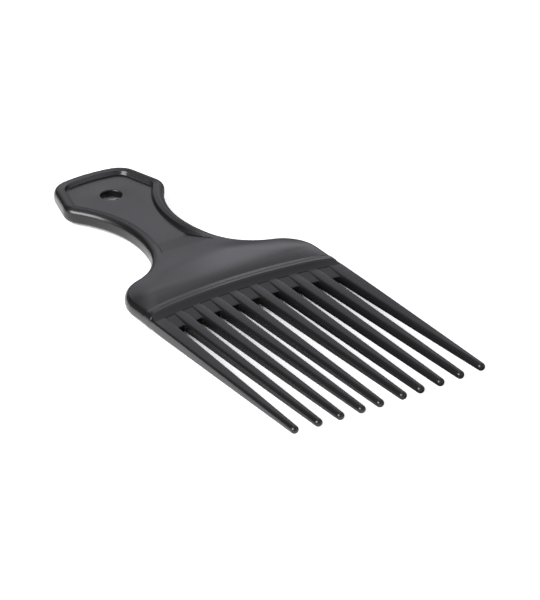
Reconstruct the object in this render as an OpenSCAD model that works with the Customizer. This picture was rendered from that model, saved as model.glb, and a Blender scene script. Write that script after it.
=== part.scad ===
// Afro pick: a single plastic moulding with ten tapered teeth, a domed shoulder and a fishtail handle.
// Lengths are in millimetres. X runs towards the tooth tips, Y across the pick and Z up.
// The two faces are alike, so every shape is built about a middle plane and then raised onto the floor.
// Each named region of the moulding is a solid of its own that meets its neighbours face to face.

/* [Teeth] */
// Length of the middle teeth, from the front of the webs to the tip
tooth_length = 68.8; // [50:0.1:85]
// Length of the webs that join the tooth roots
web_length = 6.2; // [4:0.1:10]
// Thickness of the webs at their front, from which they swell back to the slope
web_thickness = 2.2; // [1.2:0.1:3]
// Step down from a tooth to the web beside it, at the slope
web_step = 0.12; // [0:0.02:0.4]
// Width of an inner tooth at its root
tooth_width = 3.6; // [2.6:0.1:4.2]
// Width of the two outermost teeth at their roots
outer_tooth_width = 4.5; // [3.6:0.1:5]
// Thickness of every tooth at its root
tooth_thickness = 3.3; // [2.6:0.1:4]
// Diameter of the rounded tooth tips
tip_diameter = 2.4; // [1.8:0.1:2.6]
// Distance between the two middle teeth at their roots
middle_pitch = 6.9; // [5:0.05:8.5]
// How far the outermost tips lie behind the middle ones
tip_arch = 1.1; // [0:0.1:6]
// Rounding along the long edges of the teeth
tooth_rounding = 0.65; // [0.2:0.05:0.8]

/* [Shoulder] */
// Width across the shoulder and the outer teeth
body_width = 64.2; // [56:0.1:76]
// How far the tooth roots and the rib bow towards the handle in the middle
row_arch = 3.4; // [0:0.1:5]
// Length of the slope between the webs and the rib
slope_length = 2.1; // [1.5:0.1:4]
// Width of the raised rib across the shoulder
rib_width = 3.7; // [2:0.1:5]
// Height of the rib above the shoulder
rib_height = 0.2; // [0.1:0.05:0.6]
// Length of the shoulder behind the rib, up to the ramp
shoulder_length = 23.6; // [19:0.1:36]
// Thickness of the shoulder at its thickest place
shoulder_thickness = 6.4; // [5.6:0.1:8]
// Length over which the shoulder rises from the ramp to its thickest place
crown_rise = 10.5; // [8:0.1:13]
// Length over which its top then falls to the rib
crown_fall_length = 7.1; // [4:0.1:8]
// Depth of that fall on each face
crown_fall = 0.45; // [0.3:0.05:0.8]
// Thickness of the shoulder along its edge
edge_thickness = 4.4; // [4:0.1:5]
// Distance in from the outline over which the shoulder falls to its edge
edge_reach = 9.5; // [6:0.1:12]
// Distance from the rib to where the shoulder corners begin to turn
corner_setback = 3.2; // [2:0.1:6]
// Radius of the shoulder corners
corner_radius = 12.4; // [10:0.1:14]
// Rounding of the outer edges of the shoulder and the handle
edge_rounding = 1.9; // [0.5:0.05:1.9]

/* [Handle] */
// Length of the handle, from the top of the ramp to the end
handle_length = 58.6; // [50:0.1:75]
// Thickness of the handle over its raised rim
handle_thickness = 5; // [4.4:0.1:5.4]
// Thickness of the recessed panel inside the rim
panel_thickness = 2.4; // [1.6:0.1:3]
// Width of the raised rim, its sloped inner wall included
rim_width = 3.8; // [3:0.1:4.4]
// Width of the sloped inner wall of the rim
rim_wall = 0.5; // [0.3:0.1:1.8]
// Fall of the rim's top towards its inner wall
rim_tilt = 0.2; // [0:0.02:0.4]
// Length of the ramp between the panel and the shoulder
ramp_length = 8.8; // [6:0.1:12]
// Width of the neck at its narrowest place
neck_width = 17.5; // [15:0.1:20]
// Distance from the top of the ramp to the narrowest place of the neck
neck_setback = 17.2; // [15:0.1:19]
// Radius of the neck's hollow sides, from its narrowest place towards the shoulder
neck_radius = 43; // [38:0.1:48]
// Angle through which that arc turns before the rounder hollow beside the shoulder takes over
neck_turn = 17.8; // [10:0.1:26]
// Width of the handle at its widest place
handle_width = 33.8; // [31:0.1:36]
// Distance from the end of the handle to its widest place
flare_setback = 16.7; // [14:0.1:20]
// Radius of the handle's sides where it is widest
flare_radius = 6; // [5:0.1:8]
// Width of the handle across its end corners
end_width = 29; // [26:0.1:31]
// Radius of the end corners
end_corner_radius = 7.6; // [6:0.1:9]
// Radius of the bowed end edge
end_radius = 45; // [36:0.1:60]
// Diameter of the hang hole
hole_diameter = 6.5; // [4:0.1:9]
// Distance from the end of the handle to the centre of the hang hole
hole_setback = 15.4; // [12:0.1:20]

/* [Hidden] */

// Colour of the black plastic
plastic = [0.07, 0.07, 0.075];
// Length by which cuts and joined pieces run past each other
overrun = 1;
// Places of the tips on one side, from the middle out, as shares of the outermost one's distance
tip_place_shares = [0.122, 0.316, 0.536, 0.76, 1];
// Part of a tip's radius that stays as a small flat at its very end
tip_flat_share = 0.3;
// Heights of the rings that round a tip, as shares of its radius
tip_ring_shares = [0, 0.4, 0.7, 0.9];
// Cross-section of the rib's two beads, as [share of its width, share of its height]
rib_profile_shares = [[0.4, 1], [0.52, 0.85], [0.84, 1.1], [0.93, 0.6]];
// Steps between the middle and the edge of the shoulder at which its crown is worked out
crown_steps = 12;
// Steps in each arc of the outline, and in each rounded corner of a tooth
arc_steps = 10;
corner_steps = 3;
// Part of the rim's top that the rounding of the outer edge may take
rounding_limit_share = 0.95;
// Number of warped rows between the shoulder corners and the rib
front_steps = 3;
teeth_per_side = len(tip_place_shares);

half_width = body_width / 2;
half_handle = handle_thickness / 2;
half_edge = edge_thickness / 2;
half_panel = panel_thickness / 2;
half_shoulder = shoulder_thickness / 2;
half_tooth = tooth_thickness / 2;
half_web = web_thickness / 2;
tip_radius = tip_diameter / 2;
// Rounding of the outer edges, which ends before the rim's inner wall begins
outer_rounding = min(edge_rounding, rounding_limit_share * (rim_width - rim_wall));
// Half the thickness of the shoulder where it meets the rib
half_front = half_shoulder - crown_fall;
// Height of the middle plane above the floor
middle_height = max(half_shoulder, half_front + rib_height * max([for (share = rib_profile_shares) share[1]]));

// Distance between neighbouring teeth at their roots, which leaves the same gap on both sides of each
tooth_pitch = (half_width - outer_tooth_width - (middle_pitch - tooth_width) / 2) / (teeth_per_side - 1);

// Distances back from the tooth tips, along the middle of the pick
web_front = tooth_length;
slope_foot = web_front + web_length;
rib_front = slope_foot + slope_length;
rib_back = rib_front + rib_width;
corner_start = rib_back + corner_setback;
ramp_top = rib_back + shoulder_length;
ramp_foot = ramp_top + ramp_length;
neck_place = ramp_top + neck_setback;
overall_length = ramp_top + handle_length;
hole_place = overall_length - hole_setback;

// Centres of the arcs that make one half of the outline, as [distance from the tips, distance from the middle]
end_centre = [overall_length - end_radius, 0];
end_corner_side = end_width / 2 - end_corner_radius;
end_corner_centre = [end_centre.x + sqrt(pow(end_radius - end_corner_radius, 2) - pow(end_corner_side, 2)),
    end_corner_side];
flare_centre = [overall_length - flare_setback, handle_width / 2 - flare_radius];
corner_centre = [corner_start, half_width - corner_radius];
neck_point = [neck_place, neck_width / 2];
neck_centre = neck_point + [0, neck_radius];
// The neck's other arc starts at its narrowest place too, and touches the flare
back_neck_centre = neck_point + [0, touching_radius(neck_point, [0, 1], flare_centre, flare_radius)];
// The hollow goes on where the neck's arc ends, and touches the shoulder corner
hollow_way = [sin(neck_turn), cos(neck_turn)];
hollow_start = neck_centre - neck_radius * hollow_way;
hollow_radius = touching_radius(hollow_start, hollow_way, corner_centre, corner_radius);
hollow_centre = hollow_start + hollow_radius * hollow_way;

// Angle of the line from one point to another
function heading(from, to) = atan2(to.y - from.y, to.x - from.x);
// Radius of the arc that leaves a point square to a direction and then touches a circle from outside
function touching_radius(start, way, centre, radius) =
    let (from_centre = start - centre)
    (from_centre * from_centre - radius * radius) / (2 * (radius - way * from_centre));
// Points of one arc, each as [distance from the tips, side, and the outward direction there]
function arc_edge(centre, radius, from, to, outward) =
    [for (step = [1 : arc_steps])
        let (angle = from + (to - from) * step / arc_steps, way = [cos(angle), sin(angle)])
        [centre.x + radius * way.x, centre.y + radius * way.y, outward * way.x, outward * way.y]];

end_angle = heading(end_centre, end_corner_centre);
side_angle = heading(flare_centre, end_corner_centre)
    + acos((flare_radius - end_corner_radius) / norm(end_corner_centre - flare_centre));
flare_top = 90;

// One half of the outline, from the middle of the handle's end to the outer tooth
end_edge = concat(
    [[overall_length, 0, 1, 0]],
    arc_edge(end_centre, end_radius, 0, end_angle, 1),
    arc_edge(end_corner_centre, end_corner_radius, end_angle, side_angle, 1),
    arc_edge(flare_centre, flare_radius, side_angle, flare_top, 1));
side_edge = concat(
    [[flare_centre.x, handle_width / 2, 0, 1]],
    arc_edge(flare_centre, flare_radius, flare_top, heading(flare_centre, back_neck_centre), 1),
    arc_edge(back_neck_centre, norm(back_neck_centre - neck_point), heading(back_neck_centre, flare_centre), -90, -1),
    arc_edge(neck_centre, neck_radius, -90, -90 - neck_turn, -1),
    arc_edge(hollow_centre, hollow_radius, -90 - neck_turn,
        heading(hollow_centre, corner_centre) - (heading(hollow_centre, corner_centre) > 0 ? 360 : 0), -1),
    arc_edge(corner_centre, corner_radius, heading(corner_centre, hollow_centre), flare_top, 1),
    [[slope_foot - row_arch, half_width, 0, 1]]);

// The outline's point at a distance from the tips, between two points of the side edge
function edge_at(place) =
    [for (i = [1 : len(side_edge) - 1])
        let (a = side_edge[i - 1], b = side_edge[i])
        if (a.x > place && b.x <= place) a + (b - a) * (a.x - place) / (a.x - b.x)][0];
// The side edge's own points between two distances from the tips, up to a point at the nearer one
function edge_to(far, near) = concat([for (p = side_edge) if (p.x < far && p.x > near) p], [edge_at(near)]);
function mirrored(p) = [p.x, -p.y, p[2], -p[3]];
// How far in from the edge a point lies along Y for it to be the given distance inside the outline
function inset_y(p, inset) = p.y - inset / p[3];

// Place along X of a distance from the tips, with the origin in the middle of the pick
function x_of(place) = overall_length / 2 - place;
// Bow of the tooth row at a distance from the middle
function arch(y) = row_arch * pow(y / half_width, 2);

// Closes a stack of point rings into a solid. The rings lie one after another towards +X, and each runs
// anticlockwise as seen from there, over the top and back underneath, so an end is closed by upright strips.
module ring_solid(rings) {
    count = len(rings[0]);
    last = (len(rings) - 1) * count;
    points = [for (ring = rings) each ring];
    cap = [for (i = [0 : count / 2 - 2]) [i, i + 1, count - 2 - i, count - 1 - i]];
    sides = [for (r = [0 : len(rings) - 2], i = [0 : count - 1])
        let (next = (i + 1) % count, a = r * count + i, b = r * count + next)
        each [[a, b + count, b], [a, a + count, b + count]]];
    polyhedron(points, concat(cap, sides, [for (q = cap) [last + q[3], last + q[2], last + q[1], last + q[0]]]),
        convexity = 6);
}

// Heights and insets of a rounded edge, from its side up to its top, as [inset, depth below the top]
function rounded_edge(radius) =
    [for (step = [0 : corner_steps]) let (angle = 90 * step / corner_steps)
        [radius * (1 - cos(angle)), radius * (1 - sin(angle))]];

// Half the thickness of the rim's inner foot, which climbs the ramp towards the shoulder
function foot_height(place) =
    half_panel + (half_handle - half_panel) * min(1, max(0, (ramp_foot - place) / ramp_length));
// Share of the panel's depth that is left at a distance from the tips, none at the top of the ramp
function depth_share(place) = (half_handle - foot_height(place)) / (half_handle - half_panel);
// Cross-section of the rim as [inset from the outline, height], one closed loop
function rim_section(place) =
    let (top = concat([for (e = rounded_edge(outer_rounding)) [e.x, half_handle - e.y]],
            [[rim_width - rim_wall, half_handle - rim_tilt * depth_share(place)], [rim_width, foot_height(place)]]))
    concat(top, [for (i = [len(top) - 1 : -1 : 0]) [top[i].x, -top[i].y]]);

// A stretch of rim along the bowed end, with its insets square to the outline
function end_rim_ring(p) =
    [for (q = rim_section(p.x)) [x_of(p.x - p[2] * q.x), p.y - p[3] * q.x, q.y]];
// A stretch of rim along a side, with every ring in one plane across the pick
function side_rim_ring(p) =
    [for (q = rim_section(p.x)) [x_of(p.x), p.y - q.x / p[3], q.y]];

// The side of the handle along the panel, and on along the ramp
panel_side = edge_to(flare_centre.x, ramp_foot);
ramp_side = edge_to(ramp_foot, ramp_top);
flare_end = end_edge[len(end_edge) - 1];

module raised() {
    color(plastic) translate([0, 0, middle_height]) children();
}

module handle_panel() {
    inner_end = [for (p = end_edge) [x_of(p.x - p[2] * rim_width), p.y - p[3] * rim_width]];
    inner_side = [for (p = panel_side) [x_of(p.x), inset_y(p, rim_width)]];
    half_outline = concat(inner_end, inner_side);
    outline = concat(half_outline,
        [for (i = [len(half_outline) - 1 : -1 : 1]) [half_outline[i].x, -half_outline[i].y]]);
    raised() difference() {
        translate([0, 0, -half_panel]) linear_extrude(panel_thickness) polygon(outline);
        translate([x_of(hole_place), 0, -half_panel - overrun])
            cylinder(h = panel_thickness + 2 * overrun, d = hole_diameter, $fn = 64);
    }
}

module rim_end() {
    path = concat([for (i = [len(end_edge) - 1 : -1 : 1]) mirrored(end_edge[i])], end_edge);
    raised() ring_solid([for (p = path) end_rim_ring(p)]);
}

module rim_side() {
    raised() ring_solid([for (p = concat([flare_end], panel_side, ramp_side)) side_rim_ring(p)]);
}

module rim_left() {
    rim_side();
}

module rim_right() {
    mirror([0, 1, 0]) rim_side();
}

module neck_ramp() {
    raised() ring_solid([for (p = concat([edge_at(ramp_foot)], ramp_side))
        let (side = inset_y(p, rim_width), height = foot_height(p.x))
        [for (c = [[1, 1], [-1, 1], [-1, -1], [1, -1]]) [x_of(p.x), c.x * side, c.y * height]]]);
}

// Height of a surface that falls from its crown to its edge over the last stretch before the outline
function domed(crown, edge_height, inset) =
    crown - (crown - edge_height) * pow(max(0, 1 - inset / edge_reach), 2);
// Closed ring of the body at one distance from the tips. It bows by a share of the row's arch.
function body_ring(place, side, lean, rounding, edge_height, crown, bow) =
    let (flat_side = side - rounding / lean,
        top = concat(
            [for (e = rounded_edge(rounding)) [side - e.x / lean, domed(crown, edge_height, e.x) - e.y]],
            [for (step = [crown_steps - 1 : -1 : 1]) let (y = flat_side * step / crown_steps)
                [y, domed(crown, edge_height, (side - y) * lean)]],
            [[0, domed(crown, edge_height, side * lean)]]),
        last = len(top) - 1,
        upper = concat(top, [for (i = [last - 1 : -1 : 0]) [-top[i].x, top[i].y]]))
    [for (q = concat(upper, [for (i = [len(upper) - 1 : -1 : 0]) [upper[i].x, -upper[i].y]]))
        [x_of(place + bow * (row_arch - arch(q.x))), q.x, q.y]];

// Smooth step from 0 to 1
function ease(t) = t * t * (3 - 2 * t);
// Height of the shoulder along its middle: a rise from the ramp, a level stretch and a fall to the rib
function crown_height(place) =
    half_handle + (half_shoulder - half_handle) * ease(min(1, (ramp_top - place) / crown_rise))
    - crown_fall * pow(max(0, 1 - (place - rib_back) / crown_fall_length), 2);
function shoulder_ring(p) =
    body_ring(p.x, p.y, p[3], outer_rounding,
        half_handle + (half_edge - half_handle) * (ramp_top - p.x) / (ramp_top - corner_start),
        crown_height(p.x), 0);
// Rows of the shoulder in front of its corners, which bow more and more like the rib
function front_ring(share) =
    body_ring(corner_start + (rib_back - row_arch - corner_start) * share, half_width, 1, outer_rounding,
        half_edge, crown_height(corner_start - corner_setback * share), share);

module shoulder() {
    raised() ring_solid(concat(
        [for (p = concat([edge_at(ramp_top)], edge_to(ramp_top, corner_start))) shoulder_ring(p)],
        [for (step = [1 : front_steps]) front_ring(step / front_steps)]));
}

// Ring that follows the row's bow at a distance from the tips
function row_ring(place, rounding, edge_height, crown) =
    body_ring(place - row_arch, half_width, 1, rounding, edge_height, crown, 1);

module cross_rib() {
    raised() ring_solid(concat(
        [row_ring(rib_back, outer_rounding, half_edge, half_front)],
        [for (share = rib_profile_shares) let (lift = rib_height * share[1])
            row_ring(rib_back - rib_width * share[0], outer_rounding, half_edge + lift, half_front + lift)],
        [row_ring(rib_front, outer_rounding, half_edge, half_front)]));
}

// Distance of a tooth's root from the middle, counted from the middle out
function root_side(k) =
    k < teeth_per_side - 1 ? middle_pitch / 2 + k * tooth_pitch : half_width - outer_tooth_width / 2;
function root_width(k) = k < teeth_per_side - 1 ? tooth_width : outer_tooth_width;
function tip_side(k) = tip_place_shares[k] * (half_width - tip_radius);
// How far a tip lies behind the middle ones
function tip_setback(k) = tip_arch * (pow(tip_place_shares[k], 2) - pow(tip_place_shares[0], 2));
// Near and far edges of every tooth root, from right to left
root_edges = concat(
    [for (k = [teeth_per_side - 1 : -1 : 0])
        each [-root_side(k) - root_width(k) / 2, -root_side(k) + root_width(k) / 2]],
    [for (k = [0 : teeth_per_side - 1])
        each [root_side(k) - root_width(k) / 2, root_side(k) + root_width(k) / 2]]);

module tooth_bar() {
    raised() ring_solid([
        row_ring(rib_front, outer_rounding, half_edge, half_front),
        row_ring(slope_foot, tooth_rounding, half_tooth, half_tooth)]);
}

// Web between a tooth and the next one, numbered as the tooth is, from the slope's foot to its thinner front
module web(number) {
    near = root_edges[2 * number - 1];
    far = root_edges[2 * number];
    raised() ring_solid([for (e = [[slope_foot, half_tooth - web_step], [web_front, half_web]])
        [for (c = [[far, 1], [near, 1], [near, -1], [far, -1]]) [x_of(e[0] - arch(c[0])), c[0], c[1] * e[1]]]]);
}

// Cross-section of a tooth as one closed loop of [side, height]
function tooth_section(width, thickness, rounding) =
    [for (corner = [0 : 3], step = [0 : corner_steps])
        let (angle = 90 * (corner + step / corner_steps),
            middle = [(corner == 0 || corner == 3 ? 1 : -1) * (width / 2 - rounding),
                (corner < 2 ? 1 : -1) * (thickness / 2 - rounding)])
        middle + rounding * [cos(angle), sin(angle)]];

// A tooth on the left side, counted from the middle out, from the slope to its rounded tip
module left_tooth(k) {
    root = root_side(k);
    tip = tip_side(k);
    setback = tip_setback(k);
    root_section = tooth_section(root_width(k), tooth_thickness, tooth_rounding);
    tip_section = tooth_section(tip_diameter, tip_diameter, tip_radius);
    root_rings = [for (place = [slope_foot, web_front])
        [for (q = root_section) [x_of(place - arch(root + q.x)), root + q.x, q.y]]];
    tip_rings = [for (share = tip_ring_shares)
        [for (q = tip_section) [x_of(setback + tip_radius * (1 - share)), tip + q.x * sqrt(1 - share * share),
            q.y * sqrt(1 - share * share)]]];
    end_ring = [for (q = tip_section) [x_of(setback), tip + q.x * tip_flat_share, q.y * tip_flat_share]];
    ring_solid(concat(root_rings, tip_rings, [end_ring]));
}

// Tooth by its number, from the right side to the left
module tooth(number) {
    raised() if (number > teeth_per_side) left_tooth(number - teeth_per_side - 1);
        else mirror([0, 1, 0]) left_tooth(teeth_per_side - number);
}

handle_panel();
rim_end();
rim_left();
rim_right();
neck_ramp();
shoulder();
cross_rib();
tooth_bar();
web(1);  // web_01
web(2);  // web_02
web(3);  // web_03
web(4);  // web_04
web(5);  // web_05
web(6);  // web_06
web(7);  // web_07
web(8);  // web_08
web(9);  // web_09
tooth(1);  // tooth_01
tooth(2);  // tooth_02
tooth(3);  // tooth_03
tooth(4);  // tooth_04
tooth(5);  // tooth_05
tooth(6);  // tooth_06
tooth(7);  // tooth_07
tooth(8);  // tooth_08
tooth(9);  // tooth_09
tooth(10);  // tooth_10
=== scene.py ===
"""Looks of the afro pick: one black semi-gloss moulding with ten teeth, a domed shoulder and a rimmed handle.

Shapes are worked out in millimetres, with x running towards the tooth tips from the middle of the pick, y
across it and z up from its middle plane. "Station" is the distance back from the tooth tips. Every mesh is
raised onto the floor and turned into metres as it is finished. Values of the studio are in millimetres too,
unless the line above them says metres.
"""

from math import acos, atan2, cos, hypot, pi, radians, sin, sqrt

import bmesh
import bpy
from mathutils import Matrix, Vector
from mathutils.kdtree import KDTree


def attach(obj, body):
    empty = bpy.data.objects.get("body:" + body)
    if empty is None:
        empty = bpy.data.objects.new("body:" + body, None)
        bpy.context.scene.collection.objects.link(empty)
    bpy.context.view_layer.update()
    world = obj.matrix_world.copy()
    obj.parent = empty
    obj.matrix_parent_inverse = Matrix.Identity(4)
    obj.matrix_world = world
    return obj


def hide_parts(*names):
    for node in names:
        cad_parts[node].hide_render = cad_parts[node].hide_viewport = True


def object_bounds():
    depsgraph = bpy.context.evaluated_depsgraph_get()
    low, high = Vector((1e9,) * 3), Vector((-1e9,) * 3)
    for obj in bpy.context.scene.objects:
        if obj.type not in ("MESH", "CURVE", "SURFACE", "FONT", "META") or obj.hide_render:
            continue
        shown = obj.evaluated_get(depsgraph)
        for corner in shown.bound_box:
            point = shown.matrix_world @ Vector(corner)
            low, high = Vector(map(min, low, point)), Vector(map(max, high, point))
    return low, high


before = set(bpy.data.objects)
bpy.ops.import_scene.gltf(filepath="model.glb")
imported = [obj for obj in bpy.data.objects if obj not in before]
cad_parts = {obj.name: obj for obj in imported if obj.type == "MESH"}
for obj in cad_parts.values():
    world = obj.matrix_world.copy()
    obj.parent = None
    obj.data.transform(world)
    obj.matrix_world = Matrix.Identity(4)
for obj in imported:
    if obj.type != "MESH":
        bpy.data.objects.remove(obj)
cad_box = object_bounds()
MM = 0.001

# Teeth
TEETH = 10
TOOTH_LENGTH = 68.8
TOOTH_WIDTH = 3.6
OUTER_TOOTH_WIDTH = 4.5
TOOTH_THICKNESS = 3.3
TIP_DIAMETER = 2.4
MIDDLE_PITCH = 6.9
TIP_ARCH = 1.1
TIP_SHARES = (0.122, 0.316, 0.536, 0.76, 1)
TOOTH_ROUNDING = 0.65
WEB_LENGTH = 6.2
WEB_THICKNESS = 2.2
WEB_STEP = 0.12

# Shoulder
ROW_ARCH = 3.4
SLOPE_LENGTH = 2.1
RIB_WIDTH = 3.7
RIB_HEIGHT = 0.2
SHOULDER_LENGTH = 23.6
SHOULDER_THICKNESS = 6.4
EDGE_THICKNESS = 4.4
CORNER_SETBACK = 3.2
CORNER_RADIUS = 12.4
EDGE_ROUNDING = 1.9
CROWN_RISE = 10.5
CROWN_FALL_LENGTH = 7.1
CROWN_FALL = 0.45
EDGE_REACH = 9.5

# Handle
HANDLE_LENGTH = 58.6
HANDLE_THICKNESS = 5
PANEL_THICKNESS = 2.4
RIM_WIDTH = 3.8
RIM_WALL = 0.5
RIM_TILT = 0.2
RAMP_LENGTH = 8.8
NECK_WIDTH = 17.5
NECK_SETBACK = 17.2
NECK_RADIUS = 43
NECK_TURN = radians(17.8)
HANDLE_WIDTH = 33.8
FLARE_SETBACK = 16.7
FLARE_RADIUS = 6
END_WIDTH = 29
END_CORNER_RADIUS = 7.6
END_RADIUS = 45
HOLE_DIAMETER = 6.5
HOLE_SETBACK = 15.4

# Stations along the middle of the pick, and half sizes
WEB_FRONT = TOOTH_LENGTH
SLOPE_FOOT = WEB_FRONT + WEB_LENGTH
RIB_FRONT = SLOPE_FOOT + SLOPE_LENGTH
RIB_BACK = RIB_FRONT + RIB_WIDTH
CORNER_START = RIB_BACK + CORNER_SETBACK
RAMP_TOP = RIB_BACK + SHOULDER_LENGTH
RAMP_FOOT = RAMP_TOP + RAMP_LENGTH
NECK_PLACE = RAMP_TOP + NECK_SETBACK
LENGTH = RAMP_TOP + HANDLE_LENGTH
HOLE_PLACE = LENGTH - HOLE_SETBACK
LOWEST, HIGHEST = (Vector(corner) / MM for corner in cad_box)
HALF_WIDTH = (HIGHEST.y - LOWEST.y) / 2
MIDDLE_HEIGHT = (HIGHEST.z + LOWEST.z) / 2
HALF_SHOULDER = SHOULDER_THICKNESS / 2
HALF_EDGE = EDGE_THICKNESS / 2
HALF_HANDLE = HANDLE_THICKNESS / 2
HALF_PANEL = PANEL_THICKNESS / 2
HALF_TOOTH = TOOTH_THICKNESS / 2
HALF_WEB = WEB_THICKNESS / 2
HALF_FRONT = HALF_SHOULDER - CROWN_FALL
TIP_RADIUS = TIP_DIAMETER / 2


def x_of(station):
    return LENGTH / 2 - station


def arch(y):
    """Bow of the tooth row at a distance from the middle."""
    return ROW_ARCH * (y / HALF_WIDTH) ** 2


def mix(a, b, share):
    return a + (b - a) * share


def clamp(value, low=0.0, high=1.0):
    return max(low, min(high, value))


def ease(value):
    """Smooth step from 0 to 1 with level ends."""
    t = clamp(value)
    return t * t * (3 - 2 * t)


def soft_low(a, b, radius):
    """The lower of two heights, with the edge between them rounded."""
    gap = clamp(1 - abs(a - b) / radius)
    return min(a, b) - gap * gap * radius / 4


def soft_high(a, b, radius):
    """The higher of two heights, with the corner between them filleted."""
    return -soft_low(-a, -b, radius)


def rounding_drop(inset, radius):
    """How far a rounded edge lies below the surface beside it, at an inset from the outline."""
    if inset >= radius:
        return 0.0
    return radius - sqrt(max(0.0, radius * radius - (radius - inset) ** 2))


# Outline of the handle and shoulder, for the left half, as arcs that touch each other

OUTLINE_STEP = 0.7
FINE_STEP = 0.15
FEWEST_STEPS = 4


def touching_radius(start, way, centre, radius):
    """Radius of the arc that leaves a point square to a direction and then touches a circle from outside."""
    away = start - centre
    return (away.dot(away) - radius * radius) / (2 * (radius - way.dot(away)))


def heading(start, end):
    return atan2(end.y - start.y, end.x - start.x)


def arc(centre, radius, start, end, outward, step):
    """Points of one arc as (station, y, outward station, outward y), about a step apart."""
    steps = max(FEWEST_STEPS, round(abs(end - start) * radius / step))
    points = []
    for i in range(1, steps + 1):
        way = Vector((cos(mix(start, end, i / steps)), sin(mix(start, end, i / steps))))
        place = centre + way * radius
        points.append((place.x, place.y, outward * way.x, outward * way.y))
    return points


def half_outline(step):
    """The left half of the outline, from the middle of the handle's end to the shoulder's front."""
    end_centre = Vector((LENGTH - END_RADIUS, 0))
    corner_side = END_WIDTH / 2 - END_CORNER_RADIUS
    reach = sqrt((END_RADIUS - END_CORNER_RADIUS) ** 2 - corner_side ** 2)
    end_corner = Vector((end_centre.x + reach, corner_side))
    flare = Vector((LENGTH - FLARE_SETBACK, HANDLE_WIDTH / 2 - FLARE_RADIUS))
    corner = Vector((CORNER_START, HALF_WIDTH - CORNER_RADIUS))
    neck_point = Vector((NECK_PLACE, NECK_WIDTH / 2))
    neck = neck_point + Vector((0, NECK_RADIUS))
    back_radius = touching_radius(neck_point, Vector((0, 1)), flare, FLARE_RADIUS)
    back_neck = neck_point + Vector((0, back_radius))
    hollow_way = Vector((sin(NECK_TURN), cos(NECK_TURN)))
    hollow_start = neck - hollow_way * NECK_RADIUS
    hollow_radius = touching_radius(hollow_start, hollow_way, corner, CORNER_RADIUS)
    hollow = hollow_start + hollow_way * hollow_radius

    end_angle = heading(end_centre, end_corner)
    side_lean = acos((FLARE_RADIUS - END_CORNER_RADIUS) / (end_corner - flare).length)
    side_angle = heading(flare, end_corner) + side_lean
    hollow_end = heading(hollow, corner)
    hollow_end -= 2 * pi if hollow_end > 0 else 0
    fine = step / 2
    points = [(LENGTH, 0.0, 1.0, 0.0)]
    points += arc(end_centre, END_RADIUS, 0, end_angle, 1, step)
    points += arc(end_corner, END_CORNER_RADIUS, end_angle, side_angle, 1, fine)
    points += straight(points[-1], flare + Vector((cos(side_angle), sin(side_angle))) * FLARE_RADIUS, step)
    points += arc(flare, FLARE_RADIUS, side_angle, pi / 2, 1, fine)
    points += arc(flare, FLARE_RADIUS, pi / 2, heading(flare, back_neck), 1, fine)
    points += arc(back_neck, back_radius, heading(back_neck, flare), -pi / 2, -1, step)
    points += arc(neck, NECK_RADIUS, -pi / 2, -pi / 2 - NECK_TURN, -1, step)
    points += arc(hollow, hollow_radius, -pi / 2 - NECK_TURN, hollow_end, -1, step)
    points += arc(corner, CORNER_RADIUS, heading(corner, hollow), pi / 2, 1, step)
    return points


def straight(start, end, step):
    """Points along the straight stretch of outline that leaves a point, without the point itself."""
    steps = max(1, round(hypot(end.x - start[0], end.y - start[1]) / step))
    return [(mix(start[0], end.x, i / steps), mix(start[1], end.y, i / steps), start[2], start[3])
            for i in range(1, steps + 1)]


OUTLINE = half_outline(OUTLINE_STEP)
FINE_OUTLINE = half_outline(FINE_STEP)
NEAREST = KDTree(len(FINE_OUTLINE))
for index, point in enumerate(FINE_OUTLINE):
    NEAREST.insert((point[0], point[1], 0), index)
NEAREST.balance()


def inset_of(station, y):
    """Distance in from the outline of a point on the body."""
    return NEAREST.find((station, abs(y), 0))[2]


# Mesh building

MERGE_DISTANCE = 0.002
MIRROR_DISTANCE = 0.001
SHORTEST_EDGE = 0.0005
SMOOTH_ANGLE = 30


def surface(bm, across, along, place):
    """A sheet of quads whose corners lie where place(column, row) says."""
    made = bmesh.ops.create_grid(bm, x_segments=across, y_segments=along, size=1)
    for v in made["verts"]:
        v.co = place(round((v.co.x + 1) / 2 * across), round((v.co.y + 1) / 2 * along))


def pressed(point, share):
    """A point brought down towards the middle plane, to a share of its height."""
    return Vector((point.x, point.y, point.z * share))


def merge(bm):
    bmesh.ops.remove_doubles(bm, verts=bm.verts, dist=MERGE_DISTANCE)


def mirror(bm, axis):
    """Adds the same shape on the other side of the middle, across the pick (Y) or underneath (Z)."""
    bmesh.ops.mirror(bm, geom=bm.verts[:] + bm.edges[:] + bm.faces[:], matrix=Matrix.Identity(4),
                     merge_dist=MIRROR_DISTANCE, axis=axis)


def finish_piece(bm, name, material, *nodes, smooth_angle=SMOOTH_ANGLE):
    """Turns a mesh in millimetres into a finished piece that stands for CAD nodes."""
    merge(bm)
    bmesh.ops.dissolve_degenerate(bm, dist=SHORTEST_EDGE, edges=bm.edges)
    bmesh.ops.recalc_face_normals(bm, faces=bm.faces)
    bmesh.ops.translate(bm, verts=bm.verts, vec=(0, 0, MIDDLE_HEIGHT))
    bmesh.ops.scale(bm, verts=bm.verts, vec=(MM, MM, MM))
    for face in bm.faces:
        face.smooth = True
    for edge in bm.edges:
        edge.smooth = len(edge.link_faces) == 2 and edge.calc_face_angle(0) < radians(smooth_angle)
    mesh = bpy.data.meshes.new(name)
    bm.to_mesh(mesh)
    bm.free()
    piece = bpy.data.objects.new(name, mesh)
    bpy.context.scene.collection.objects.link(piece)
    mesh.materials.append(material)
    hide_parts(*nodes)
    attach(piece, "root")


# Heights of the body's upper face above the middle plane

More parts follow.
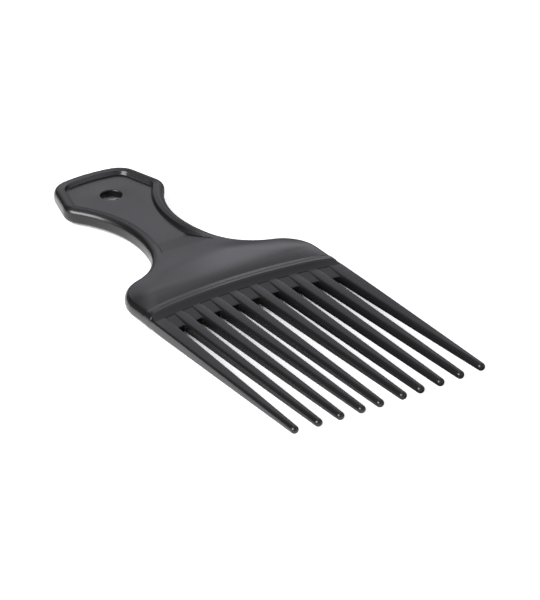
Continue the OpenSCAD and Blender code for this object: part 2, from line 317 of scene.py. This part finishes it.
RECESS = HALF_HANDLE - HALF_PANEL
LEAST_DEPTH = 0.001
RIM_CREST = 0.08
WALL_FILLET = 0.25
WALL_FILLET_REACH = WALL_FILLET * RIM_WALL / (RECESS - RIM_TILT)
RAMP_CREASE = 0.08
RAMP_CREASE_REACH = RAMP_CREASE * RAMP_LENGTH / RECESS


def ramp_height(station):
    """Height of the panel, the ramp and the level ground between the rims."""
    slope = HALF_PANEL + RECESS * (RAMP_FOOT - station) / RAMP_LENGTH
    return soft_low(soft_high(HALF_PANEL, slope, RAMP_CREASE), HALF_HANDLE, RAMP_CREASE)


def crown_height(station):
    """Height of the shoulder along its middle, which rises from the ramp and falls again to the rib."""
    rise = ease((RAMP_TOP - station) / CROWN_RISE)
    fall = clamp(1 - (station - RIB_BACK) / CROWN_FALL_LENGTH)
    return HALF_HANDLE + (HALF_SHOULDER - HALF_HANDLE) * rise - CROWN_FALL * fall * fall


def edge_height(station):
    """Height of the shoulder along its outline, before the edge is rounded."""
    share = clamp((RAMP_TOP - station) / (RAMP_TOP - CORNER_START))
    return mix(HALF_HANDLE, HALF_EDGE, share)


def rim_height(station, inset):
    """Height of the rim, which tilts inwards and drops to the panel, and of the ground inside it."""
    ground = ramp_height(station)
    depth = clamp((HALF_HANDLE - ground) / RECESS, LEAST_DEPTH)
    tilt = RIM_TILT * depth * max(0, inset - EDGE_ROUNDING) / (RIM_WIDTH - RIM_WALL - EDGE_ROUNDING)
    wall = HALF_PANEL + (RECESS - RIM_TILT) * (RIM_WIDTH - inset) / RIM_WALL
    return soft_high(ground, soft_low(HALF_HANDLE - tilt, wall, RIM_CREST * depth), WALL_FILLET * depth)


def domed(crown, edge, inset):
    """Height of a surface that falls from its crown to its edge over the last stretch before the outline."""
    return crown - (crown - edge) * max(0, 1 - inset / EDGE_REACH) ** 2


def body_height(station, inset):
    """Height of the body's upper face, with inset the distance in from the outline."""
    drop = rounding_drop(inset, EDGE_ROUNDING)
    if station >= RAMP_TOP:
        return rim_height(station, inset) - drop
    return domed(crown_height(station), edge_height(station), inset) - drop


# The body: handle, ramp and shoulder as one skin

FLAT_BAND = 0.3
WALL_FOOT = RIM_WIDTH + WALL_FILLET_REACH
STRIP_WIDTH = WALL_FOOT + FLAT_BAND
ROUND_STEPS = 12
WALL_STEPS = 28
STRIP_INSETS = ([0.0]
                + [EDGE_ROUNDING * (1 - cos(radians(90 * i / ROUND_STEPS))) for i in range(ROUND_STEPS + 1)]
                + [mix(EDGE_ROUNDING, WALL_FOOT, i / WALL_STEPS) for i in range(1, WALL_STEPS + 1)]
                + [STRIP_WIDTH])
CENTRE_COLUMNS = 44
FRONT_ROWS = 8
BODY_SMOOTH_ANGLE = 50


def strip_point(p, column):
    """A point of the strip that follows the outline, from its middle plane over the edge to the inside."""
    inset = STRIP_INSETS[column]
    station = p[0] - p[2] * inset
    y = p[1] - p[3] * inset
    height = 0 if column == 0 else body_height(station, inset)
    return station, y, height


def front_point(share, y, column):
    """A point ahead of the shoulder's corners, where the rows bow more and more like the rib."""
    station = mix(CORNER_START, RIB_BACK - arch(y), share)
    height = 0 if column == 0 else body_height(mix(CORNER_START, RIB_BACK, share), HALF_WIDTH - y)
    return Vector((x_of(station), y, height))


def add_strip(bm):
    """The rim and the shoulder's edge, all the way along the outline to the rib."""
    def place(column, row):
        station, y, height = strip_point(OUTLINE[row], column)
        return Vector((x_of(station), y, height))
    surface(bm, len(STRIP_INSETS) - 1, len(OUTLINE) - 1, place)

    def place_front(column, row):
        return front_point(row / FRONT_ROWS, HALF_WIDTH - STRIP_INSETS[column], column)
    surface(bm, len(STRIP_INSETS) - 1, FRONT_ROWS, place_front)


def first_ramp_row():
    """The row of the strip at which the flat panel ends, just short of the ramp's foot."""
    last = len(STRIP_INSETS) - 1
    return next(i for i, p in enumerate(OUTLINE) if strip_point(p, last)[0] < RAMP_FOOT + RAMP_CREASE_REACH)


def add_middle(bm):
    """The ramp and the dome between the two strips, from the panel to the rib."""
    last = len(STRIP_INSETS) - 1
    rows = [strip_point(p, last) for p in OUTLINE[first_ramp_row() - 1:]]

    def place(column, row):
        station, side, _ = rows[row]
        y = side * column / CENTRE_COLUMNS
        inset = STRIP_WIDTH if column == CENTRE_COLUMNS else inset_of(station, y)
        return Vector((x_of(station), y, body_height(station, inset)))
    surface(bm, CENTRE_COLUMNS, len(rows) - 1, place)

    def place_front(column, row):
        y = (HALF_WIDTH - STRIP_WIDTH) * column / CENTRE_COLUMNS
        return front_point(row / FRONT_ROWS, y, last)
    surface(bm, CENTRE_COLUMNS, FRONT_ROWS, place_front)


HOLE_EDGE = 0.35
HOLE_EDGE_STEPS = 6
HOLE_SIDES = 96
PANEL_SLACK = 0.005


def add_hole(bm):
    """The hang hole's wall with its softened edge, turned about the hole's axis."""
    radius = HOLE_DIAMETER / 2
    turns = [radians(90 * i / HOLE_EDGE_STEPS) for i in range(HOLE_EDGE_STEPS + 1)]
    profile = [(radius + HOLE_EDGE * (1 - sin(turn)), HALF_PANEL - HOLE_EDGE * (1 - cos(turn)))
               for turn in turns]
    profile.append((radius, 0))
    verts = [bm.verts.new((x_of(HOLE_PLACE) + r, 0, z)) for r, z in profile]
    edges = [bm.edges.new(pair) for pair in zip(verts, verts[1:])]
    bmesh.ops.spin(bm, geom=verts + edges, cent=(x_of(HOLE_PLACE), 0, 0), axis=(0, 0, 1), angle=2 * pi,
                   steps=HOLE_SIDES, use_merge=True)


def fill_panel(bm):
    """Closes the flat panel between the rims, the ramp and the hang hole."""
    limit = x_of(RAMP_FOOT)
    rim = [e for e in bm.edges if e.is_boundary
           and all(abs(v.co.z - HALF_PANEL) < PANEL_SLACK and v.co.x < limit for v in e.verts)]
    bmesh.ops.triangle_fill(bm, edges=rim, use_beauty=True, use_dissolve=False, normal=(0, 0, 1))


def close_front(bm):
    """A sheet across the body's front, which meets the rib."""
    inner = HALF_WIDTH - STRIP_WIDTH
    ys = ([HALF_WIDTH - inset for inset in STRIP_INSETS]
          + [inner * (CENTRE_COLUMNS - i) / CENTRE_COLUMNS for i in range(1, CENTRE_COLUMNS + 1)])

    def place(column, row):
        return pressed(front_point(1, ys[column], column), row)
    surface(bm, len(ys) - 1, 1, place)


def make_body(material):
    bm = bmesh.new()
    add_strip(bm)
    add_middle(bm)
    close_front(bm)
    merge(bm)
    mirror(bm, "Y")
    add_hole(bm)
    merge(bm)
    fill_panel(bm)
    mirror(bm, "Z")
    finish_piece(bm, "handle_and_shoulder", material, "handle_panel", "rim_end", "rim_left", "rim_right",
                 "neck_ramp", "shoulder", smooth_angle=BODY_SMOOTH_ANGLE)


# The rib and the slope in front of it

ROW_COLUMNS = 60
ROW_INSETS = (STRIP_INSETS[:ROUND_STEPS + 2]
              + [mix(EDGE_ROUNDING, HALF_WIDTH, i / ROW_COLUMNS) for i in range(1, ROW_COLUMNS + 1)])


def make_row(name, material, node, rows, station_of, height_of, rounding_of):
    """A bar that follows the bow of the tooth row, as rows of points from one side to the other."""
    bm = bmesh.new()
    last = len(ROW_INSETS) - 1

    def top(column, row):
        inset = ROW_INSETS[column]
        y = HALF_WIDTH - inset
        height = 0 if column == 0 else height_of(row, y) - rounding_drop(inset, rounding_of(row))
        return Vector((x_of(station_of(row) - arch(y)), y, max(0, height)))
    surface(bm, last, rows, top)
    for row in (0, rows):
        surface(bm, last, 1, lambda column, side, row=row: pressed(top(column, row), side))
    merge(bm)
    mirror(bm, "Y")
    mirror(bm, "Z")
    finish_piece(bm, name, material, node)


RIB_ROWS = 24
FIRST_BEAD_SHARE = 0.4
VALLEY_SHARE = 0.52
SECOND_BEAD_SHARE = 0.84
VALLEY_HEIGHT_SHARE = 0.85
SECOND_HEIGHT_SHARE = 1.1
BEAD_STOPS = ((0, 0), (FIRST_BEAD_SHARE, 1), (VALLEY_SHARE, VALLEY_HEIGHT_SHARE),
              (SECOND_BEAD_SHARE, SECOND_HEIGHT_SHARE), (1, 0))
BEAD_SOFTNESS = 0.35
VALLEY_FADE_START = 0.8
VALLEY_FADE_LENGTH = 0.12
STOP_SLACK = 0.000001


def row_height(y):
    """Height of the shoulder's front edge across the pick."""
    return domed(HALF_FRONT, HALF_EDGE, HALF_WIDTH - abs(y))


def rib_lift(share, y):
    """Height of the two beads above the shoulder. The valley between them fades out towards the sides."""
    place = next(i for i, stop in enumerate(BEAD_STOPS[1:], 1) if share <= stop[0] + STOP_SLACK)
    (start, low), (end, high) = BEAD_STOPS[place - 1:place + 1]
    along = clamp((share - start) / (end - start))
    lift = mix(low, high, mix(along, ease(along), BEAD_SOFTNESS))
    joined = ease((abs(y) / HALF_WIDTH - VALLEY_FADE_START) / VALLEY_FADE_LENGTH)
    if FIRST_BEAD_SHARE < share < SECOND_BEAD_SHARE:
        lift = mix(lift, 1, joined)
    return RIB_HEIGHT * lift


def make_rib(material):
    def height(row, y):
        return row_height(y) + rib_lift(row / RIB_ROWS, y)
    make_row("cross_rib_beads", material, "cross_rib", RIB_ROWS,
             lambda row: RIB_BACK - RIB_WIDTH * row / RIB_ROWS, height, lambda row: EDGE_ROUNDING)


SLOPE_ROWS = 12
SLOPE_HOLLOW = 1.15


def make_slope(material):
    def height(row, y):
        return mix(row_height(y), HALF_TOOTH, 1 - (1 - row / SLOPE_ROWS) ** SLOPE_HOLLOW)
    make_row("front_slope", material, "tooth_bar", SLOPE_ROWS,
             lambda row: RIB_FRONT - SLOPE_LENGTH * row / SLOPE_ROWS, height,
             lambda row: mix(EDGE_ROUNDING, TOOTH_ROUNDING, row / SLOPE_ROWS))


# Teeth and webs

PER_SIDE = TEETH // 2
SIDE_ROOM = HALF_WIDTH - OUTER_TOOTH_WIDTH - (MIDDLE_PITCH - TOOTH_WIDTH) / 2
TOOTH_GAP = SIDE_ROOM / (PER_SIDE - 1) - TOOTH_WIDTH


def tooth_row():
    """Every tooth from right to left, as (y of its root, width there, y of its tip, setback of its tip)."""
    left = []
    for k in range(PER_SIDE):
        outer = k == PER_SIDE - 1
        width = OUTER_TOOTH_WIDTH if outer else TOOTH_WIDTH
        root = HALF_WIDTH - width / 2 if outer else MIDDLE_PITCH / 2 + k * (TOOTH_WIDTH + TOOTH_GAP)
        setback = TIP_ARCH * (TIP_SHARES[k] ** 2 - TIP_SHARES[0] ** 2)
        left.append((root, width, TIP_SHARES[k] * (HALF_WIDTH - TIP_RADIUS), setback))
    right = [(-root, width, -tip, setback) for root, width, tip, setback in reversed(left)]
    return right + left


CORNER_STEPS = 6
ROOT_RINGS = 2
SHANK_RINGS = 16
TIP_RINGS = 10
ROUNDING_TAPER = 1.5


def section(width, thickness, rounding):
    """Closed cross-section of a tooth, as (side, height) all the way round."""
    points = []
    for corner in range(4):
        middle_side = (1 if corner in (0, 3) else -1) * (width / 2 - rounding)
        middle_height = (1 if corner < 2 else -1) * (thickness / 2 - rounding)
        for step in range(CORNER_STEPS + 1):
            angle = radians(90 * (corner + step / CORNER_STEPS))
            points.append((middle_side + rounding * cos(angle), middle_height + rounding * sin(angle)))
    return points + points[:1]


def make_tooth(number, root, width, tip, setback, material):
    """One tooth, as rings from the closed root over the web and the shank to the round tip."""
    bm = bmesh.new()
    start = WEB_FRONT
    end = setback + TIP_RADIUS

    def ring(row):
        """Station on the axis, side of the axis, width, thickness, rounding and shrink of one ring."""
        if row <= ROOT_RINGS:
            station = (SLOPE_FOOT, SLOPE_FOOT, start)[row]
            return station, root, width, TOOTH_THICKNESS, TOOTH_ROUNDING, min(row, 1)
        share = clamp((row - ROOT_RINGS) / SHANK_RINGS)
        station = mix(start, end, share)
        rounding = mix(TOOTH_ROUNDING, TIP_RADIUS, share ** ROUNDING_TAPER)
        sizes = mix(width, TIP_DIAMETER, share), mix(TOOTH_THICKNESS, TIP_DIAMETER, share)
        if row <= ROOT_RINGS + SHANK_RINGS:
            return station, mix(root, tip, share), *sizes, rounding, 1
        angle = radians(90 * (row - ROOT_RINGS - SHANK_RINGS) / TIP_RINGS)
        return end - TIP_RADIUS * sin(angle), tip, *sizes, rounding, cos(angle)

    def place(column, row):
        station, middle, ring_width, thickness, rounding, shrink = ring(row)
        side, height = section(ring_width, thickness, rounding)[column]
        bowed = arch(root + side) * clamp((station - end) / (start - end))
        return Vector((x_of(station - bowed), middle + side * shrink, height * shrink))

    surface(bm, 4 * (CORNER_STEPS + 1), ROOT_RINGS + SHANK_RINGS + TIP_RINGS, place)
    finish_piece(bm, f"tooth_{number:02d}_shank", material, f"tooth_{number:02d}")


WEB_COLUMNS = 16
WEB_ROWS = 12
WEB_OVERLAP = 0.7
WEB_CORNER = 0.35
WEB_EDGE = 0.2
WEB_EDGE_STEPS = 5


def make_web(number, near, far, material):
    """The sunk web between two teeth, with filleted corners and a softened front edge."""
    bm = bmesh.new()
    edge_rows = WEB_EDGE_STEPS + 1
    edge_insets = [WEB_EDGE * (1 - cos(radians(90 * i / WEB_EDGE_STEPS))) for i in range(edge_rows)]

    def place(column, row):
        y = mix(near - WEB_OVERLAP, far + WEB_OVERLAP, column / WEB_COLUMNS)
        gap = max(0.0, min(y - near, far - y))
        fillet = WEB_CORNER - sqrt(WEB_CORNER ** 2 - (WEB_CORNER - min(gap, WEB_CORNER)) ** 2)
        front = WEB_FRONT - arch(y) - fillet
        back = SLOPE_FOOT - arch(y)
        if row <= edge_rows:
            inset = 0 if row == 0 else edge_insets[row - 1]
            station = front + inset
        else:
            station = mix(front + WEB_EDGE, back, (row - edge_rows) / (WEB_ROWS - edge_rows))
        share = clamp((station - front) / (back - front))
        height = mix(HALF_WEB, HALF_TOOTH - WEB_STEP, share)
        height = 0 if row == 0 else height - rounding_drop(station - front, WEB_EDGE)
        return Vector((x_of(station), y, height))

    surface(bm, WEB_COLUMNS, WEB_ROWS, place)
    surface(bm, WEB_COLUMNS, 1, lambda column, side: pressed(place(column, WEB_ROWS), side))
    for column in (0, WEB_COLUMNS):
        surface(bm, 1, WEB_ROWS, lambda side, row, column=column: pressed(place(column, row), side))
    merge(bm)
    mirror(bm, "Z")
    finish_piece(bm, f"web_{number:02d}_floor", material, f"web_{number:02d}")


# Shader maths

class Value:
    """A number that varies over the surface, which Python operators turn into Math nodes."""

    def __init__(self, nodes, socket):
        self.nodes = nodes
        self.socket = socket

    def maths(self, operation, *values):
        out = self.nodes.add("ShaderNodeMath", {"operation": operation}, dict(enumerate(values)))
        return Value(self.nodes, out.outputs[0])

    def __add__(self, other):
        return self.maths("ADD", self, other)

    def __radd__(self, other):
        return self.maths("ADD", other, self)

    def __sub__(self, other):
        return self.maths("SUBTRACT", self, other)

    def __rsub__(self, other):
        return self.maths("SUBTRACT", other, self)

    def __mul__(self, other):
        return self.maths("MULTIPLY", self, other)

    def __rmul__(self, other):
        return self.maths("MULTIPLY", other, self)

    def __truediv__(self, other):
        return self.maths("DIVIDE", self, other)

    def __pow__(self, other):
        return self.maths("POWER", self, other)


class Nodes:
    """The node tree of one material or of the world."""

    def __init__(self, tree):
        self.tree = tree
        self.tree.nodes.clear()

    def add(self, kind, settings=None, inputs=None):
        """A node of a kind, with its settings and with the values or links of its sockets."""
        node = self.tree.nodes.new(kind)
        for key, value in (settings or {}).items():
            setattr(node, key, value)
        for key, value in (inputs or {}).items():
            if isinstance(value, Value):
                value = value.socket
            if isinstance(value, bpy.types.NodeSocket):
                self.tree.links.new(value, node.inputs[key])
            else:
                node.inputs[key].default_value = value
        return node

    def value(self, socket):
        return Value(self, socket)

    def smooth(self, value, low, high, to_low=0.0, to_high=1.0):
        """A value eased from one range into another."""
        out = self.add("ShaderNodeMapRange", {"interpolation_type": "SMOOTHSTEP"}, {
            "Value": value, "From Min": low, "From Max": high, "To Min": to_low, "To Max": to_high})
        return self.value(out.outputs["Result"])


def new_material(name):
    """An empty material and its nodes."""
    material = bpy.data.materials.new(name)
    material.use_nodes = True
    return material, Nodes(material.node_tree)


CLOUD_SCALE = 45
SWELL_SCALE = 160
GRAIN_SCALE = 2600
DEEP_BLACK = (0.0070, 0.0070, 0.0074, 1)
WORN_BLACK = (0.0092, 0.0092, 0.0097, 1)
SHEEN = 0.24
CLOUD_SHEEN = 0.08
GRAIN_SHEEN = 0.05
SWELL_HEIGHT = 0.000012
GRAIN_HEIGHT = 0.0000012
BUMP_STRENGTH = 0.35
PLASTIC_IOR = 1.5


def black_plastic():
    """Black semi-gloss plastic as it comes from the mould, with a faint grain and cloudy sheen."""
    material, nodes = new_material("black_plastic")
    place = nodes.add("ShaderNodeTexCoord").outputs["Object"]

    def noise(scale, detail):
        out = nodes.add("ShaderNodeTexNoise", {"noise_dimensions": "3D"},
                        {"Vector": place, "Scale": scale, "Detail": detail, "Roughness": 0.5})
        return nodes.value(out.outputs["Fac"])

    clouds = noise(CLOUD_SCALE, 3)
    grain = noise(GRAIN_SCALE, 2)
    swell = noise(SWELL_SCALE, 1)
    tone = nodes.add("ShaderNodeMix", {"data_type": "RGBA"},
                     {"Factor": clouds, "A": DEEP_BLACK, "B": WORN_BLACK})
    sheen = SHEEN + (clouds - 0.5) * CLOUD_SHEEN + (grain - 0.5) * GRAIN_SHEEN
    height = swell * SWELL_HEIGHT + grain * GRAIN_HEIGHT
    bump = nodes.add("ShaderNodeBump", None, {"Strength": BUMP_STRENGTH, "Distance": 1.0, "Height": height})
    shader = nodes.add("ShaderNodeBsdfPrincipled", None, {
        "Base Color": tone.outputs["Result"], "Roughness": sheen, "Normal": bump.outputs["Normal"],
        "IOR": PLASTIC_IOR})
    nodes.add("ShaderNodeOutputMaterial", None, {"Surface": shader.outputs["BSDF"]})
    return material


# Studio

def stage_sheet(bm, name, material):
    """Turns a mesh in metres into a sheet of the studio, which is not attached to the pick's body."""
    mesh = bpy.data.meshes.new(name)
    bm.to_mesh(mesh)
    bm.free()
    sheet = bpy.data.objects.new(name, mesh)
    bpy.context.scene.collection.objects.link(sheet)
    mesh.materials.append(material)


# Metres
FLOOR_REACH = 6

PAPER_COLOUR = (0.93, 0.93, 0.93, 1)
# Painted glow and shade on the floor: how far ambient occlusion looks, where the glow fades to painted shade,
# and how much the gloss dims behind the pick
SHADE_SAMPLES = 12
SHADE_REACH = 6
SHADED = 0.14
OPEN = 0.34
PAPER_GLOW = 0.75
SIDE_REACH = 8
NEAR_SHADED = 0.45
NEAR_OPEN = 0.8
NEAR_GLOW = 0.62
FAR_DIMMING = 0.65


def make_floor():
    """A white floor that keeps the pick's shadow, partly real and partly painted, and has a painted glow for
    the camera where the pick leaves it open.

    In the gloss it is bright in front of the pick, on the key light's side, with a painted glow, and dim
    behind it, with painted shade.
    """
    material, nodes = new_material("white_paper")
    place = nodes.add("ShaderNodeTexCoord").outputs["Object"]
    parts = nodes.add("ShaderNodeSeparateXYZ", None, {"Vector": place})
    openness = nodes.add("ShaderNodeAmbientOcclusion", {"samples": SHADE_SAMPLES},
                         {"Distance": SHADE_REACH * MM})
    path = nodes.add("ShaderNodeLightPath")
    seen = nodes.value(path.outputs["Is Camera Ray"])
    gloss = nodes.value(path.outputs["Is Glossy Ray"])
    # Painted light and shade: the camera sees a glow that ambient occlusion fades out where the pick closes
    # the floor in
    glow = seen * nodes.smooth(openness.outputs["AO"], SHADED, OPEN, 0, PAPER_GLOW)
    # Painted reflection: glossy rays see an added glow on the floor in front of the pick, and not behind it
    behind = nodes.smooth(parts.outputs["Y"], -SIDE_REACH * MM, SIDE_REACH * MM)
    near_glow = nodes.smooth(openness.outputs["AO"], NEAR_SHADED, NEAR_OPEN, 0, NEAR_GLOW)
    glow = glow + gloss * (1 - behind) * near_glow
    paper = nodes.add("ShaderNodeBsdfDiffuse", None, {"Color": PAPER_COLOUR})
    # Painted shade: behind the pick, glossy rays see the paper mixed towards black
    dark = nodes.add("ShaderNodeBsdfDiffuse", None, {"Color": (0, 0, 0, 1)})
    shaded = nodes.add("ShaderNodeMixShader", None, {
        "Fac": gloss * behind * FAR_DIMMING, 1: paper.outputs[0], 2: dark.outputs[0]})
    light = nodes.add("ShaderNodeEmission", None, {"Color": (1, 1, 1, 1), "Strength": glow})
    both = nodes.add("ShaderNodeAddShader", None, {0: shaded.outputs[0], 1: light.outputs[0]})
    nodes.add("ShaderNodeOutputMaterial", None, {"Surface": both.outputs[0]})
    bm = bmesh.new()
    bmesh.ops.create_grid(bm, x_segments=1, y_segments=1, size=FLOOR_REACH)
    stage_sheet(bm, "floor", material)


ROOM_COLOUR = (0.97, 0.97, 1.05, 1)
CARD_PLANE = -40
GREY_CARD_SPAN = (-3.5, 111.5)
GREY_CARD_HEIGHTS = (33.5, 90.5)
GREY_CARD_LEVEL = 0.57
GREY_CARD_SIDE_FADE = 3
GREY_CARD_FOOT_FADE = 3
BRIGHT_CARD_SPAN = (7, 75)
BRIGHT_CARD_HEIGHTS = (15, 27)
BRIGHT_CARD_LEVEL = 1.65
BRIGHT_CARD_SIDE_FADE = 18
BRIGHT_CARD_FOOT_FADE = 7


def make_card(name, span, heights, level, side_fade, foot_fade):
    """An upright card above the handle, which only gloss shows, soft at its near side and at its foot."""
    near, far = span
    foot, top = heights
    material, nodes = new_material(name)
    place = nodes.add("ShaderNodeTexCoord").outputs["Object"]
    parts = nodes.add("ShaderNodeSeparateXYZ", None, {"Vector": place})
    solid = nodes.smooth(parts.outputs["Z"], foot * MM, (foot + foot_fade) * MM)
    solid = solid * nodes.smooth(parts.outputs["Y"], near * MM, (near + side_fade) * MM)
    path = nodes.add("ShaderNodeLightPath")
    clear = nodes.add("ShaderNodeBsdfTransparent")
    lit = nodes.add("ShaderNodeEmission", None, {"Color": ROOM_COLOUR, "Strength": level})
    shown = nodes.add("ShaderNodeMixShader", None, {
        "Fac": solid * path.outputs["Is Glossy Ray"], 1: clear.outputs[0], 2: lit.outputs[0]})
    nodes.add("ShaderNodeOutputMaterial", None, {"Surface": shown.outputs[0]})
    bm = bmesh.new()
    bmesh.ops.create_grid(bm, x_segments=1, y_segments=1, size=0.5)
    bmesh.ops.rotate(bm, verts=bm.verts, matrix=Matrix.Rotation(radians(90), 3, "Y"))
    bmesh.ops.scale(bm, verts=bm.verts, vec=(1, (far - near) * MM, (top - foot) * MM))
    middle = Vector((CARD_PLANE, (near + far) / 2, (foot + top) / 2)) * MM
    bmesh.ops.translate(bm, verts=bm.verts, vec=middle)
    stage_sheet(bm, name, material)


def direction(azimuth, elevation):
    """Unit vector at an azimuth and an elevation in degrees, with azimuth 0 along x and 90 along y."""
    a = radians(azimuth)
    e = radians(elevation)
    return Vector((cos(a) * cos(e), sin(a) * cos(e), sin(e)))


AMBIENT_LEVEL = 0.35
WALL_FOOT_LEVEL = 0.25
WALL_TOP_LEVEL = 0.7
WALL_FOOT_ELEVATION = 8
WALL_TOP_ELEVATION = 21
CAMERA_LEVEL = 1.1

# A dark gap in the wall, with the half angles and the elevations between which its sides and its top fade
GAP_AZIMUTH = -153
GAP_HALF_ANGLES = (34, 20)
GAP_TOP_ELEVATIONS = (57, 44)
GAP_DEPTH = 0.9
LEVEL_SLACK = 0.0001

# Patches of the room, as azimuth, elevation, and how far round that a patch ends and is still full
LOW_GLOW = (152, 16, 8, 3)
LOW_GLOW_GAIN = 0.45
HIGH_GLOW = (146, 34, 8, 4)
HIGH_GLOW_GAIN = 1.2
FRONT_GLOW = (30, 13, 24, 10)
FRONT_GLOW_GAIN = 1.2
DIM_CORNER = (25, 58, 30, 12)
DIM_CORNER_DEPTH = 0.65
DIM_FOOT = (143, 12, 9, 5)
DIM_FOOT_DEPTH = 0.55
DARK_SCREEN = (161, 40, 9, 5)
DARK_SCREEN_DEPTH = 0.8


def make_world():
    """A pale room, which the gloss shows as a wall that brightens upwards, with lit and dark patches."""
    world = bpy.data.worlds.new("studio")
    bpy.context.scene.world = world
    world.use_nodes = True
    nodes = Nodes(world.node_tree)
    way = nodes.add("ShaderNodeTexCoord").outputs["Generated"]
    parts = nodes.add("ShaderNodeSeparateXYZ", None, {"Vector": way})
    x, y, up = (nodes.value(parts.outputs[axis]) for axis in "XYZ")

    foot, top = (sin(radians(angle)) for angle in (WALL_FOOT_ELEVATION, WALL_TOP_ELEVATION))
    wall = nodes.smooth(up, foot, top, WALL_FOOT_LEVEL, WALL_TOP_LEVEL)
    beside = direction(GAP_AZIMUTH, 0)
    level_part = (x * x + y * y + LEVEL_SLACK) ** 0.5
    turn = (x * beside.x + y * beside.y) / level_part
    gap = nodes.smooth(turn, *(cos(radians(angle)) for angle in GAP_HALF_ANGLES))
    gap = gap * nodes.smooth(up, *(sin(radians(angle)) for angle in GAP_TOP_ELEVATIONS))

    def patch(azimuth, elevation, outer, inner):
        """A round patch about a direction, full within the inner angle and gone beyond the outer one."""
        centre = direction(azimuth, elevation)
        near = x * centre.x + y * centre.y + up * centre.z
        return nodes.smooth(near, cos(radians(outer)), cos(radians(inner)))

    glow = (patch(*LOW_GLOW) * LOW_GLOW_GAIN + patch(*HIGH_GLOW) * HIGH_GLOW_GAIN
            + patch(*FRONT_GLOW) * FRONT_GLOW_GAIN)
    mirrored = wall * (1 - gap * GAP_DEPTH) * (1 + glow)
    mirrored = mirrored * (1 - patch(*DIM_CORNER) * DIM_CORNER_DEPTH)
    mirrored = mirrored * (1 - patch(*DIM_FOOT) * DIM_FOOT_DEPTH)
    mirrored = mirrored * (1 - patch(*DARK_SCREEN) * DARK_SCREEN_DEPTH)
    path = nodes.add("ShaderNodeLightPath")
    gloss = nodes.value(path.outputs["Is Glossy Ray"])
    seen = nodes.value(path.outputs["Is Camera Ray"])
    level = gloss * mirrored + (1 - gloss) * AMBIENT_LEVEL
    level = seen * CAMERA_LEVEL + (1 - seen) * level
    background = nodes.add("ShaderNodeBackground", None, {"Color": ROOM_COLOUR, "Strength": level})
    nodes.add("ShaderNodeOutputWorld", None, {"Surface": background.outputs[0]})


KEY_AZIMUTH = -86
KEY_ELEVATION = 32
KEY_RADIANCE = 10

# Metres
KEY_DISTANCE = 1.2
KEY_WIDTH = 0.92
KEY_HEIGHT = 0.7


def make_key_light():
    """A soft box that faces the pick, as bright as the picture shows it in the gloss."""
    light = bpy.data.lights.new("key_light", "AREA")
    light.shape = "RECTANGLE"
    light.size = KEY_WIDTH
    light.size_y = KEY_HEIGHT
    light.energy = KEY_RADIANCE * pi * KEY_WIDTH * KEY_HEIGHT
    holder = bpy.data.objects.new("key_light", light)
    way = direction(KEY_AZIMUTH, KEY_ELEVATION)
    holder.location = way * KEY_DISTANCE
    holder.rotation_euler = way.to_track_quat("Z", "Y").to_euler()
    bpy.context.scene.collection.objects.link(holder)


# The view, found by fitting a camera to matching points of the picture and then to its whole outline

FRAME_HEIGHT = 600
FOCAL_PIXELS = 3858
CAMERA_AZIMUTH = radians(56.83)
CAMERA_ELEVATION = radians(28.23)
CAMERA_ROLL = radians(-0.40)
AIM = Vector((14.26, 4.05, MIDDLE_HEIGHT)) * MM
CAMERA_DISTANCE = 1098.8 * MM

# Metres
CLIP_START = 0.01
CLIP_END = 20


def make_camera():
    """The camera of the picture, turned by its roll about the line of sight."""
    back = Vector((sin(CAMERA_AZIMUTH) * cos(CAMERA_ELEVATION), -cos(CAMERA_AZIMUTH) * cos(CAMERA_ELEVATION),
                   sin(CAMERA_ELEVATION)))
    data = bpy.data.cameras.new("camera")
    data.sensor_fit = "AUTO"
    data.lens = data.sensor_width * FOCAL_PIXELS / FRAME_HEIGHT
    data.clip_start = CLIP_START
    data.clip_end = CLIP_END
    camera = bpy.data.objects.new("camera", data)
    right = Vector((cos(CAMERA_AZIMUTH), sin(CAMERA_AZIMUTH), 0))
    up = back.cross(right)
    turned_right = right * cos(CAMERA_ROLL) + up * sin(CAMERA_ROLL)
    turned_up = up * cos(CAMERA_ROLL) - right * sin(CAMERA_ROLL)
    axes = Matrix((turned_right, turned_up, back)).transposed()
    camera.matrix_world = Matrix.Translation(AIM + back * CAMERA_DISTANCE) @ axes.to_4x4()
    bpy.context.scene.collection.objects.link(camera)
    bpy.context.scene.camera = camera


# The whole scene

make_camera()
make_floor()
make_card("grey_card", GREY_CARD_SPAN, GREY_CARD_HEIGHTS, GREY_CARD_LEVEL, GREY_CARD_SIDE_FADE,
          GREY_CARD_FOOT_FADE)
make_card("bright_card", BRIGHT_CARD_SPAN, BRIGHT_CARD_HEIGHTS, BRIGHT_CARD_LEVEL, BRIGHT_CARD_SIDE_FADE,
          BRIGHT_CARD_FOOT_FADE)
make_world()
make_key_light()
plastic = black_plastic()
make_body(plastic)
make_rib(plastic)
make_slope(plastic)
row = tooth_row()
for number, tooth in enumerate(row, 1):
    make_tooth(number, *tooth, plastic)
for number, (right_tooth, left_tooth) in enumerate(zip(row, row[1:]), 1):
    make_web(number, right_tooth[0] + right_tooth[1] / 2, left_tooth[0] - left_tooth[1] / 2, plastic)

bpy.context.scene.view_settings.view_transform = "Standard"
